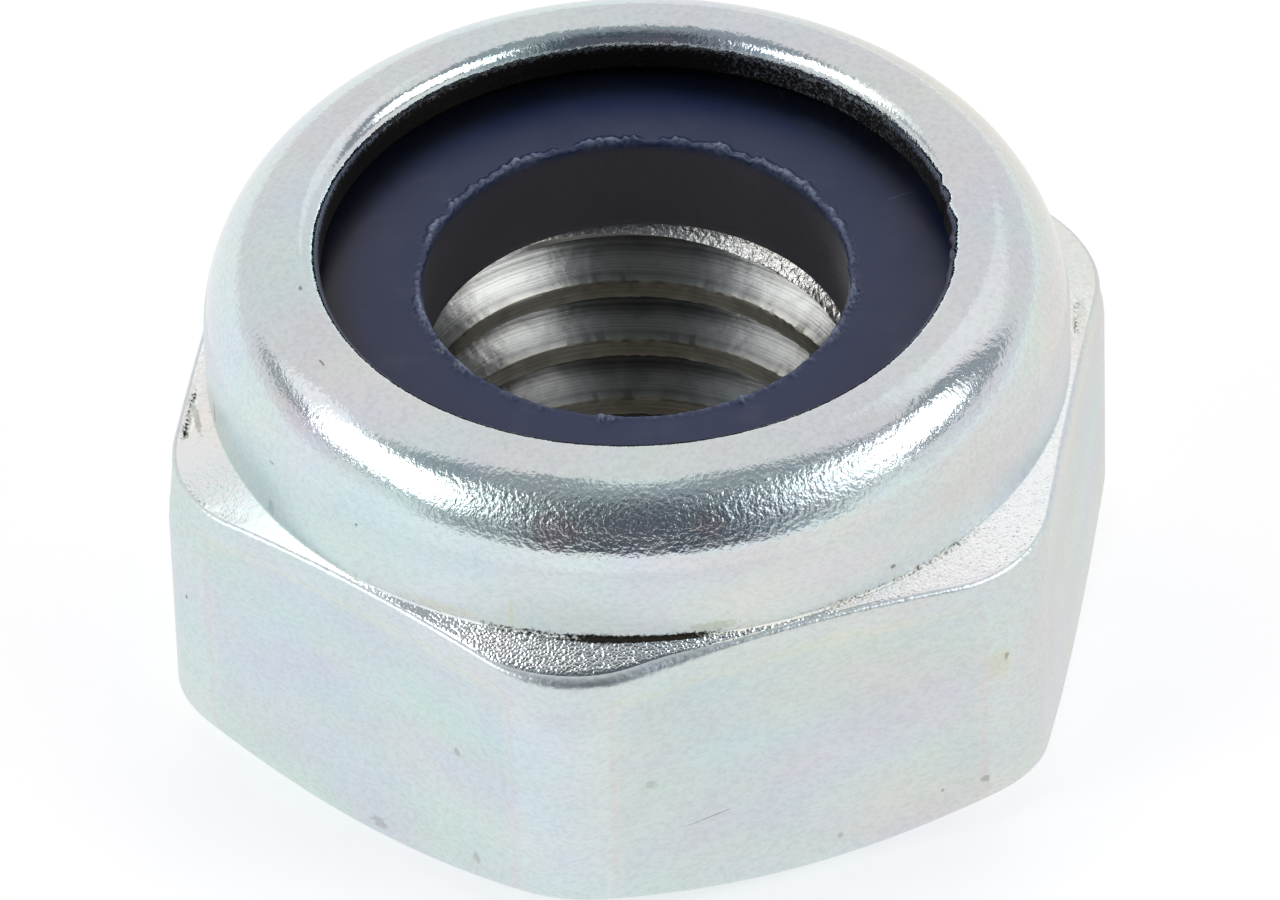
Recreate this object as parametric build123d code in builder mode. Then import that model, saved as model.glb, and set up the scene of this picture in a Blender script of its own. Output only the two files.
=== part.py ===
from build123d import *
import math
import os

# Prevailing torque hexagon nut, M10, with a nylon locking ring held under a rolled-in lip.
# Millimetres. +Z is the thread axis, upwards, and the origin is the centre of the bearing face.
# Two corners of the hexagon lie on the X axis, so two wrench flats face -Y and +Y.

# Hexagon
across_flats = 17.0
hexagon_height = 6.44       # height of the ledge where it meets the collar
corner_radius = 1.7         # vertical corners, rounded by the forging die
ledge_width = 0.16          # step from a flat in to the collar, at the middle of the flat
ledge_slope = 15.0          # degrees that the ledge falls towards the corners
ledge_edge_radius = 0.18    # rolled edge round the ledge
bearing_inset = 0.45        # the bearing face starts this far inside the flats
bearing_chamfer_angle = 30.0
bearing_edge_bevel = 0.15   # eased edge where the chamfer meets the flats

# Collar, with its domed shoulder and rolled-in lip
collar_wall = 1.21
collar_straight = 0.97      # cylindrical part of the collar, above the ledge
dome_height = 2.20
crown_land = 0.04           # narrow flat ring on top of the lip
lip_overlap = 1.05          # how far the lip reaches in over the locking ring
lip_thickness = 1.18
lip_edge_radius = 0.5

# Thread, as a plain bore at its minor diameter
thread_diameter = 10.0
thread_pitch = 1.5
countersink_margin = 0.6    # countersink mouth, over the thread diameter
countersink_angle = 120.0
thread_top_chamfer = 0.5

# Locking ring, and its clearances in the pocket
ring_thickness = 2.1
ring_undersize = 0.18       # ring bore, under the thread's minor diameter
ring_corner_bevel = 0.5     # upper outer corner, the same in the ring and in its pocket
ring_edge_bevel = 0.08      # both edges of the ring's bore
ring_side_clearance = 0.03
ring_top_clearance = 0.03

# Worked out from the sizes above
sharp_corner = across_flats / math.sqrt(3)
bearing_radius = across_flats / 2 - bearing_inset
bearing_rise = (sharp_corner - bearing_radius) * math.tan(math.radians(bearing_chamfer_angle))
collar_radius = across_flats / 2 - ledge_width
ledge_fall = (sharp_corner - collar_radius) * math.tan(math.radians(ledge_slope))
shoulder_height = hexagon_height + collar_straight
overall_height = shoulder_height + dome_height

pocket_radius = collar_radius - collar_wall
ring_radius = pocket_radius - ring_side_clearance
pocket_top = overall_height - lip_thickness
seat_height = pocket_top - ring_top_clearance - ring_thickness
lip_radius = ring_radius - lip_overlap
dome_width = collar_radius - lip_radius - lip_edge_radius - crown_land

# The basic profile's crests stand 5/8 of the fundamental triangle in from the thread diameter.
minor_radius = thread_diameter / 2 - 5 / 8 * math.sqrt(3) / 2 * thread_pitch
countersink_radius = (thread_diameter + countersink_margin) / 2
countersink_depth = (countersink_radius - minor_radius) / math.tan(math.radians(countersink_angle / 2))
ring_bore_radius = minor_radius - ring_undersize / 2

os.makedirs("parts", exist_ok=True)


def is_hexagon_cut(edge):
    """True for an edge that a flat or a rounded corner cuts across a cone."""
    return edge.geom_type not in (GeomType.CIRCLE, GeomType.LINE)


# Nut body: a hexagon blank cut to the turned section of bearing face, ledge, collar, lip, pocket and bore.
with BuildPart() as nut_body:
    with BuildSketch():
        hexagon = RegularPolygon(across_flats / 2, 6, major_radius=False)
        fillet(hexagon.vertices(), corner_radius)
    extrude(amount=overall_height)

    with BuildSketch(Plane.XZ) as turned_section:
        with BuildLine():
            Polyline(
                (minor_radius, countersink_depth),
                (countersink_radius, 0),
                (bearing_radius, 0),
                (sharp_corner, bearing_rise),
                (sharp_corner, hexagon_height - ledge_fall),
                (collar_radius, hexagon_height),
                (collar_radius, shoulder_height),
            )
            EllipticalCenterArc(
                (collar_radius - dome_width, shoulder_height),
                dome_width,
                dome_height,
            )
            Polyline(
                (collar_radius - dome_width, overall_height),
                (lip_radius, overall_height),
                (lip_radius, pocket_top),
                (pocket_radius, pocket_top),
                (pocket_radius, seat_height),
                (minor_radius + thread_top_chamfer, seat_height),
                (minor_radius, seat_height - thread_top_chamfer),
                (minor_radius, countersink_depth),
            )
        make_face()
        lip_edge = turned_section.vertices().sort_by_distance((lip_radius, overall_height))[0]
        fillet(lip_edge, lip_edge_radius)
        pocket_corner = turned_section.vertices().sort_by_distance((pocket_radius, pocket_top))[0]
        chamfer(pocket_corner, ring_corner_bevel)
    revolve(axis=Axis.Z, mode=Mode.INTERSECT)

    # The ledge and the bearing chamfer are the cones nearest to the hexagon's sharp corners.
    cones = nut_body.faces().filter_by(GeomType.CONE)
    ledge = cones.sort_by_distance((sharp_corner, 0, hexagon_height))[0]
    fillet(ledge.edges().filter_by(is_hexagon_cut), ledge_edge_radius)
    cones = nut_body.faces().filter_by(GeomType.CONE)
    bearing_chamfer = cones.sort_by_distance((sharp_corner, 0, 0))[0]
    chamfer(bearing_chamfer.edges().filter_by(is_hexagon_cut), bearing_edge_bevel)
nut_body.part.label = "nut_body"
export_step(nut_body.part, "parts/nut_body.step")

# Nylon ring: a turned washer whose upper outer corner is bevelled to fit the pocket's.
with BuildPart() as nylon_ring:
    with BuildSketch(Plane.XZ) as ring_section:
        with Locations((ring_bore_radius, seat_height)):
            Rectangle(
                ring_radius - ring_bore_radius,
                ring_thickness,
                align=(Align.MIN, Align.MIN),
            )
        ring_corner = ring_section.vertices().sort_by_distance((ring_radius, pocket_top))[0]
        chamfer(ring_corner, ring_corner_bevel)
        bore_edges = ring_section.vertices().group_by(Axis.X)[0]
        chamfer(bore_edges, ring_edge_bevel)
    revolve(axis=Axis.Z)
nylon_ring.part.label = "nylon_ring"
export_step(nylon_ring.part, "parts/nylon_ring.step")
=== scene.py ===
"""Nylon insert lock nut, M10: a zinc plated steel body with its thread, and the nylon locking ring."""

import logging
import math
from collections.abc import Callable, Sequence
from dataclasses import dataclass, field, replace
from enum import Enum

import bmesh
import bpy
import numpy as np
from mathutils import Matrix, Vector, noise


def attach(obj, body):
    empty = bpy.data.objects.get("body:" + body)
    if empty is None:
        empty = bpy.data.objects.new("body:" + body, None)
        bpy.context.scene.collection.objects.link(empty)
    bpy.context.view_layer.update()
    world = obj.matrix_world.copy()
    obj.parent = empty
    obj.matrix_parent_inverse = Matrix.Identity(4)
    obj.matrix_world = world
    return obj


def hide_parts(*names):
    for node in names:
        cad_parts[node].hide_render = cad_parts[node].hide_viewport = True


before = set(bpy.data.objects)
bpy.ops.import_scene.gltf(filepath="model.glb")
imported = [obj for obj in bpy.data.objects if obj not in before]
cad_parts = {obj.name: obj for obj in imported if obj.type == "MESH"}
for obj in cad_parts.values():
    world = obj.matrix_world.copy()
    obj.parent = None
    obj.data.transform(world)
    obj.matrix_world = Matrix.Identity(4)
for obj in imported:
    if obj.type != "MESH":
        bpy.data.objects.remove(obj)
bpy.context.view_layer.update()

MM = 0.001
FULL_TURN = 2 * math.pi
CORNER_STEP = math.pi / 3      # from one corner of the hexagon to the next
STEPS_ROUND = 480              # divisions of a full turn, shared by every ring that is joined to another
SEAT_HEIGHT = 6.3              # where the thread ends and the ring lies, in millimetres
RING_BEVEL = 0.5               # upper outer corner of the ring and of its pocket
POCKET_RADIUS = 7.13
RING_CLEARANCE = 0.03          # between the ring and the pocket's wall
RING_GRIP = 0.09               # how far the ring's bore stands in from the thread's crests

FLARE_START = 0.78             # share of a flat's height above which its corners flare
CREASE_SHARE = 0.05            # share of the ledge's width, at its back, that carries painted shade
SMOOTH_ANGLE = math.radians(28)

WHITE = (1.0, 1.0, 1.0, 1.0)
TENT_FOOT = (0.98, 0.98, 0.98, 1.0)
TENT_FRONT = (0.86, 0.85, 0.85, 1.0)
TENT_BEHIND = (0.83, 0.775, 0.79, 1.0)
TENT_HAZE = (0.33, 0.36, 0.39, 1.0)
ROOM_DARK = (0.045, 0.08, 0.105, 1.0)
ROOM_DIM = (0.16, 0.14, 0.16, 1.0)
DIM_FRAME = (0.34, 0.36, 0.39, 1.0)
LAMP_GLOW = (1.05, 1.05, 1.05, 1.0)
SIDE_GLOW = (0.95, 0.91, 0.92, 1.0)
FLOOR_COOL = (1.0, 1.01, 1.02, 1.0)
FLOOR_WARM = (0.99, 0.91, 0.86, 1.0)
FLOOR_GREY = (0.8, 0.8, 0.8, 1.0)
FLOOR_LIFT = 0.45              # the floor's own light, as the camera sees it
FLOOR_MIRRORED = 0.85          # how bright the nut mirrors it, out in the open
FLOOR_SHADED = 0.17            # the share of that which is left close under the nut
FLOOR_SPREAD = 200.0           # how many times wider than the gap under the nut the floor is
# colour of the painted shade in the creases, on the lip's wall and in the dents
SHADE_TONE = (0.045, 0.04, 0.032, 1.0)

log = logging.getLogger("lock_nut")


class Zone(Enum):
    """Which cut, blow or die made a stretch of the steel body's surface."""

    PLATED = 0
    ROLLED = 1
    FORGED = 2
    THREADED = 3


class Grit(Enum):
    """What kind of coarse surface a tool leaves."""

    NONE = "none"
    ROLLED = "rolled"
    FORGED = "forged"


Round = Callable[[np.ndarray], np.ndarray]               # a number for each angle round the axis
Feed = bpy.types.NodeSocket | float | Sequence[float]    # what goes into a socket of a node


def level(value: float) -> Round:
    """A number that is the same all the way round."""
    return lambda angle: np.full_like(angle, value)


def part_of(share: float, amount: Round) -> Round:
    """A number round the axis, multiplied by a share."""
    return lambda angle: share * amount(angle)


@dataclass(frozen=True)
class Arc:
    """A stretch of the turn round the axis, in degrees from +X.

    Attributes:
        middle: Its middle.
        half: Half its width.
        fade: Width of the change at each end.
    """

    middle: float
    half: float
    fade: float

    def share(self, angle: np.ndarray) -> np.ndarray:
        """How far each angle, in radians, lies inside the stretch, from 0 outside to 1 inside."""
        off = np.abs((np.degrees(angle) - self.middle + 180.0) % 360.0 - 180.0)
        return 1.0 - smooth_step(off, self.half - self.fade / 2, self.half + self.fade / 2)


# Where the tools left each part of the nut different, and where shade is painted on, from the thread
# outwards
# painted shade on the thread's flanks at one side of the bore, standing in for the dark room that they
# mirror
SHADED_FLANKS = Arc(69.0, 15.0, 26.0)
BURRED_CRESTS = Arc(35.0, 50.0, 30.0)
TORN_END = Arc(32.0, 45.0, 20.0)           # the thread's last turn, under the ring
ROUNDED_CORNER = Arc(-114.0, 11.0, 12.0)
SHADED_CREASE_FRONT = Arc(-109.5, 8.0, 7.0)        # painted shade in the crease behind the ledge, in three stretches
SHADED_CREASE_LEFT = Arc(-122.0, 9.0, 5.0)
SHADED_CREASE_RIGHT = Arc(-75.0, 14.0, 8.0)
COARSE_FRONT = Arc(-112.0, 22.0, 16.0)     # the ledge, from corner to corner
COARSE_RIGHT = Arc(-60.0, 22.0, 16.0)
COARSE_BACK = Arc(85.0, 55.0, 30.0)
SMOOTH_LEFT = Arc(-172.0, 22.0, 16.0)
STRUCK_FLAT = Arc(-52.0, 34.0, 16.0)       # where the die came down flat on it
SPECKLED_DOME = Arc(-104.0, 32.0, 16.0)
CHIPPED_RIGHT = Arc(-20.0, 16.0, 8.0)      # the lip's foot and wall
CHIPPED_FRONT = Arc(-77.0, 6.0, 5.0)
# the lip's wall: coarser there, and with less painted shade, where it catches the light
RUBBED_AND_LIT_WALL = Arc(26.0, 26.0, 14.0)
SCUFFED_WALL = Arc(75.0, 25.0, 12.0)
FRAYED_BORE = (Arc(138.0, 6.0, 6.0), Arc(79.0, 5.0, 5.0), Arc(22.0, 12.0, 12.0), Arc(2.0, 5.0, 5.0))
SHADED_SIDE = Arc(90.0, 100.0, 60.0)       # the ring's far side, under the lip


@dataclass(frozen=True)
class Station:
    """One ring of the steel body's surface, in millimetres.

    Attributes:
        zone: The finish of the stretch that starts at this ring.
        reach: The ring's radius at each angle round the axis.
        rise: The ring's height at each angle round the axis.
        painted_shade: How much painted shade lies on the ring at each angle, from 0 to 1.
        grit: How coarse the surface is at each angle, from 0 to 1.
        ragged: How far the ring may stray in and out at each angle.
    """

    zone: Zone
    reach: Round
    rise: Round
    painted_shade: Round = level(0.0)
    grit: Round = level(0.0)
    ragged: Round = level(0.0)


@dataclass(frozen=True)
class Mark:
    """A stain, speck or scratch on a surface, or a patch of painted light or shade, in millimetres.

    Attributes:
        turn: Its place round the axis, in degrees from +X.
        radius: Its distance from the axis.
        height: Its height.
        size: Half its size outwards, round the axis and upwards.
        colour: What the surface's colour is multiplied by there.
        tilt: Degrees that it leans, seen from outside.
    """

    turn: float
    radius: float
    height: float
    size: tuple[float, float, float]
    colour: tuple[float, float, float] = (0.45, 0.42, 0.38)
    tilt: float = 0.0


@dataclass(frozen=True)
class Nick:
    """A small dent along a line in the steel, in millimetres.

    Attributes:
        start: Where it starts: degrees from +X, distance from the axis and height.
        end: Where it ends, in the same way.
        width: Half its width.
        depth: How deep it is.
        bottom_shade: How dark its bottom is painted, as painted shade in the dent, from 0 to 1.
    """

    start: tuple[float, float, float]
    end: tuple[float, float, float]
    width: float
    depth: float
    bottom_shade: float

    def nearness(self, places: np.ndarray) -> np.ndarray:
        """How near each place is to the dent's line.

        Args:
            places: Rows of x, y and z in millimetres.

        Returns:
            1 on the line, falling to 0 a few widths away.
        """
        first, last = (
            np.array([radius * math.cos(math.radians(turn)), radius * math.sin(math.radians(turn)), height])
            for turn, radius, height in (self.start, self.end)
        )
        along = last - first
        share = np.clip((places - first) @ along / (along @ along), 0.0, 1.0)
        off = np.linalg.norm(places - first - share[:, None] * along, axis=1)
        return np.exp(-((off / self.width) ** 2))


def smooth_step(value: np.ndarray, low: float, high: float) -> np.ndarray:
    """Goes from 0 at low to 1 at high with no corner at either end."""
    share = np.clip((value - low) / (high - low), 0.0, 1.0)
    return share * share * (3.0 - 2.0 * share)


def points_of(piece: bpy.types.Object) -> np.ndarray:
    """Reads the places of a piece's vertices.

    Args:
        piece: The piece.

    Returns:
        Rows of x, y and z in metres.
    """
    places = np.empty(len(piece.data.vertices) * 3)
    piece.data.vertices.foreach_get("co", places)
    return places.reshape(-1, 3)


def put_points(piece: bpy.types.Object, places: np.ndarray) -> None:
    """Moves a piece's vertices to new places, in metres."""
    piece.data.vertices.foreach_set("co", places.ravel())
    piece.data.update()


def keep_on_points(piece: bpy.types.Object, name: str, values: np.ndarray) -> None:
    """Stores one number for each vertex under a name that a finish can read."""
    store = piece.data.attributes.get(name) or piece.data.attributes.new(name, "FLOAT", "POINT")
    store.data.foreach_set("value", values.astype(np.float32))


def numbers_on(piece: bpy.types.Object, name: str) -> np.ndarray:
    """Reads back what keep_on_points stored.

    Args:
        piece: The piece.
        name: The name that the numbers were stored under.

    Returns:
        One number for each vertex.
    """
    values = np.empty(len(piece.data.vertices), np.float32)
    piece.data.attributes[name].data.foreach_get("value", values)
    return values


def cloudy(places: np.ndarray, size: float, seed: float = 0.0) -> np.ndarray:
    """Smooth noise between -1 and 1 at each place.

    Args:
        places: Rows of x, y and z.
        size: The width of one lump, in the same unit.
        seed: Moves the pattern, so that two uses differ.

    Returns:
        One number for each place.
    """
    away = Vector((seed, 2.0 * seed, 3.0 * seed))
    return np.array([noise.noise(Vector(place) / size + away) for place in places])


def start_wire(name: str, radius: float, height: float) -> bpy.types.Object:
    """Starts a piece as one vertex beside the axis, ready to be drawn out into its section.

    Args:
        name: The piece's name.
        radius: The vertex's distance from the axis in metres.
        height: Its height in metres.

    Returns:
        The new object, in edit mode with its one vertex selected.
    """
    bpy.ops.object.select_all(action="DESELECT")
    bpy.ops.mesh.primitive_plane_add(size=MM, location=(0, 0, 0))
    piece = bpy.context.object
    piece.name = piece.data.name = name
    bpy.ops.object.mode_set(mode="EDIT")
    bpy.ops.mesh.select_all(action="SELECT")
    bpy.ops.mesh.merge(type="CENTER")
    bpy.ops.object.mode_set(mode="OBJECT")      # drops the merged vertices, so that the next ones are
    bpy.ops.object.mode_set(mode="EDIT")        # numbered in the order in which they are drawn
    bpy.ops.transform.translate(value=(radius, 0, height))
    return piece


def draw_wire(name: str, outline: list[tuple[float, float]]) -> bpy.types.Object:
    """Draws a section beside the axis by extruding one vertex from point to point.

    Args:
        name: The piece's name.
        outline: The section's points as radius and height in millimetres.

    Returns:
        The wire, in object mode, with each vertex's number in its "station" attribute.
    """
    radius, height = outline[0]
    piece = start_wire(name, radius * MM, height * MM)
    for radius_on, height_on in outline[1:]:
        stretch = ((radius_on - radius) * MM, 0, (height_on - height) * MM)
        bpy.ops.mesh.extrude_region_move(TRANSFORM_OT_translate={"value": stretch})
        radius, height = radius_on, height_on
    bpy.ops.object.mode_set(mode="OBJECT")
    keep_on_points(piece, "station", np.arange(len(piece.data.vertices)))
    return piece


def turn_wire(piece: bpy.types.Object, steps: int, turns: int = 1, pitch: float = 0.0) -> None:
    """Turns a section round the Z axis into a surface.

    Args:
        piece: The wire beside the axis.
        steps: Divisions of one turn.
        turns: How many times it goes round.
        pitch: How far it climbs in each turn, in metres.
    """
    turning = piece.modifiers.new("turning", "SCREW")
    turning.steps = turning.render_steps = steps
    turning.iterations = turns
    turning.screw_offset = pitch
    turning.use_merge_vertices = True
    turning.merge_threshold = 1e-8
    turning.use_smooth_shade = True
    bpy.context.view_layer.objects.active = piece
    bpy.ops.object.modifier_apply(modifier=turning.name)


def close_seams(piece: bpy.types.Object, gap: float = 2e-7) -> None:
    """Merges vertices that lie on each other and turns every face outwards.

    Args:
        piece: The piece.
        gap: How far apart two vertices may be and still merge, in metres.
    """
    bpy.ops.object.select_all(action="DESELECT")
    piece.select_set(True)
    bpy.context.view_layer.objects.active = piece
    bpy.ops.object.mode_set(mode="EDIT")
    bpy.ops.mesh.select_all(action="SELECT")
    bpy.ops.mesh.remove_doubles(threshold=gap)
    bpy.ops.mesh.normals_make_consistent(inside=False)
    bpy.ops.mesh.select_all(action="DESELECT")
    bpy.ops.object.mode_set(mode="OBJECT")


def count_open_edges(piece: bpy.types.Object) -> int:
    """Counts the edges that don't lie between exactly two faces.

    Args:
        piece: The piece.

    Returns:
        How many there are, which is 0 for a closed mesh.
    """
    faces = bmesh.new()
    faces.from_mesh(piece.data)
    open_edges = sum(1 for edge in faces.edges if len(edge.link_faces) != 2)
    faces.free()
    return open_edges


@dataclass
class Hexagon:
    """The outline of the nut's six flats, with rounded corners. Two corners lie on the X axis.

    Attributes:
        across_flats: Distance between opposite flats in millimetres.
        corner_radius: Radius of the vertical corners in millimetres.
        flared_radius: Radius of the corners at the ledge, where they flare.
    """

    across_flats: float
    corner_radius: float = 1.7
    flared_radius: float = 2.9

    def off_corner(self, angle: np.ndarray) -> np.ndarray:
        """Each angle's distance from the nearest corner, in radians."""
        return np.abs((angle + CORNER_STEP / 2) % CORNER_STEP - CORNER_STEP / 2)

    def reach(
        self, angle: np.ndarray, inset: float | np.ndarray = 0.0, flare: float = 0.0
    ) -> np.ndarray:
        """The outline's distance from the axis.

        Args:
            angle: Angles round the axis in radians.
            inset: How far inside the true outline, in millimetres.
            flare: How far the corners have flared, from 0 to 1.

        Returns:
            Radii in millimetres.
        """
        off_corner = self.off_corner(angle)
        half = self.across_flats / 2
        full = self.corner_radius + (self.flared_radius - self.corner_radius) * flare
        centre = (half - full) / math.cos(CORNER_STEP / 2)
        radius = full - inset
        last = np.arctan2(radius * math.sin(CORNER_STEP / 2), centre + radius * math.cos(CORNER_STEP / 2))
        flat = (half - inset) / np.cos(CORNER_STEP / 2 - off_corner)
        inside_round = np.maximum(radius**2 - (centre * np.sin(off_corner)) ** 2, 0.0)
        corner = centre * np.cos(off_corner) + np.sqrt(inside_round)
        return np.where(off_corner < last, corner, flat)


@dataclass
class Thread:
    """A right-hand metric internal thread, in millimetres.

    Attributes:
        bottom: Height where the countersink starts.
        top: Height of the seat where the thread ends.
        pitch: Climb in one turn.
        diameter: Nominal diameter, at the roots.
        crest_height: Height of the middle of one crest at angle zero.
        mouth_radius: Radius of the countersink at the bearing face.
        mouth_angle: Full angle of the countersink in degrees.
        top_chamfer: Height and width of the chamfer under the seat.
    """

    bottom: float
    top: float
    pitch: float = 1.5
    diameter: float = 10.0
    crest_height: float = 1.346
    mouth_radius: float = 5.3
    mouth_angle: float = 120.0
    top_chamfer: float = 0.5

    @property
    def minor_radius(self) -> float:
        """Radius at the crests: 5/8 of the fundamental triangle in from the nominal radius."""
        return self.diameter / 2 - 5 / 8 * math.sqrt(3) / 2 * self.pitch

    def profile(self) -> list[tuple[float, float]]:
        """Lays out one pitch of the thread's section, with its crest's edges eased.

        Returns:
            Points as radius and height from the middle of a crest.
        """
        root = self.diameter / 2
        crest_half = self.pitch / 8
        root_half = self.pitch / 16
        eased = 0.03
        flank_low = crest_half + eased * math.sin(math.radians(30))
        flank_high = self.pitch / 2 - root_half
        slope = (root - self.minor_radius) / (flank_high - crest_half)
        flank = [
            (self.minor_radius + (height - crest_half) * slope, height)
            for height in np.linspace(flank_low, flank_high, 5)
        ]
        lower = [(self.minor_radius, 0.0), (self.minor_radius, crest_half - eased)]
        rising = lower + flank
        falling = [(radius, self.pitch - height) for radius, height in reversed(rising)]
        return rising + [(root, self.pitch / 2)] + falling

    def phase(self, angle: np.ndarray, height: np.ndarray) -> np.ndarray:
        """Height above the middle of the crest below, between 0 and one pitch."""
        return (height - self.crest_height - self.pitch * angle / FULL_TURN) % self.pitch

    def groove(self, angle: np.ndarray, height: np.ndarray) -> np.ndarray:
        """How far the thread is cut, its countersink and chamfer included.

        Args:
            angle: Angles round the axis in radians.
            height: The height at each angle.

        Returns:
            The radius at each angle.
        """
        radii, heights = zip(*self.profile())
        cut = np.interp(self.phase(angle, height), heights, radii)
        return np.maximum(cut, self.mouths(height))

    def mouths(self, height: np.ndarray) -> np.ndarray:
        """Radius of the countersink, or of the chamfer under the seat, at each height."""
        countersink = self.mouth_radius - height * math.tan(math.radians(self.mouth_angle / 2))
        return np.maximum(countersink, self.minor_radius + self.top_chamfer - (self.top - height))

    def burrs(self, piece: bpy.types.Object, angle: np.ndarray, places: np.ndarray) -> np.ndarray:
        """Torn metal along the edges of the crests, most on one side.

        Args:
            piece: The turned thread, with its "across" attribute.
            angle: Each vertex's angle round the axis in radians.
            places: Each vertex's place in millimetres.

        Returns:
            How far the metal stands in at each vertex, in millimetres.
        """
        across = numbers_on(piece, "across")
        on_edge = np.exp(-(((across - self.pitch / 8) / 0.03) ** 2))
        tear = np.zeros(len(places))
        edge = on_edge > 0.2
        tear[edge] = np.clip(cloudy(places[edge], 0.14, seed=2.0) + 0.15, 0.0, 1.0)
        return on_edge * tear * (0.02 + 0.05 * BURRED_CRESTS.share(angle))

    def build(self) -> bpy.types.Object:
        """Turns the profile up the bore and trims it between the bearing face and the seat.

        Returns:
            The thread's surface, open where the steel body joins it.
        """
        start = self.crest_height - 2 * self.pitch
        outline = [(radius, start + height) for radius, height in self.profile()]
        turns = math.ceil((self.top - start) / self.pitch) + 1
        piece = draw_wire("thread", outline)
        along = np.concatenate(([0.0], np.cumsum(np.hypot(*np.diff(outline, axis=0).T))))
        keep_on_points(piece, "across", np.minimum(along, along[-1] - along))
        turn_wire(piece, STEPS_ROUND, turns, self.pitch * MM)
        places = points_of(piece) / MM
        angle = np.arctan2(places[:, 1], places[:, 0])
        # painted shade on the flanks at one side of the bore
        keep_on_points(piece, "painted_flank_shade", SHADED_FLANKS.share(angle))
        end = smooth_step(places[:, 2] + 0.12 * cloudy(places, 0.3), self.top - 0.75, self.top - 0.55)
        keep_on_points(piece, "torn", end * (0.3 + 0.7 * TORN_END.share(angle)))
        keep_on_points(piece, "worn", smooth_step(-places[:, 2], -self.top + 0.45, -self.top + 0.55))
        height = np.clip(places[:, 2], self.bottom, self.top)
        reach = np.hypot(places[:, 0], places[:, 1]) - self.burrs(piece, angle, places)
        trimmed = np.where(height == places[:, 2], reach, 0.0)
        reach = np.maximum(trimmed, self.groove(angle, height) * (trimmed == 0.0))
        reach = np.maximum(reach, self.mouths(height))
        put_points(piece, np.column_stack((reach * np.cos(angle), reach * np.sin(angle), height)) * MM)
        close_seams(piece)
        return piece


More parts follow.
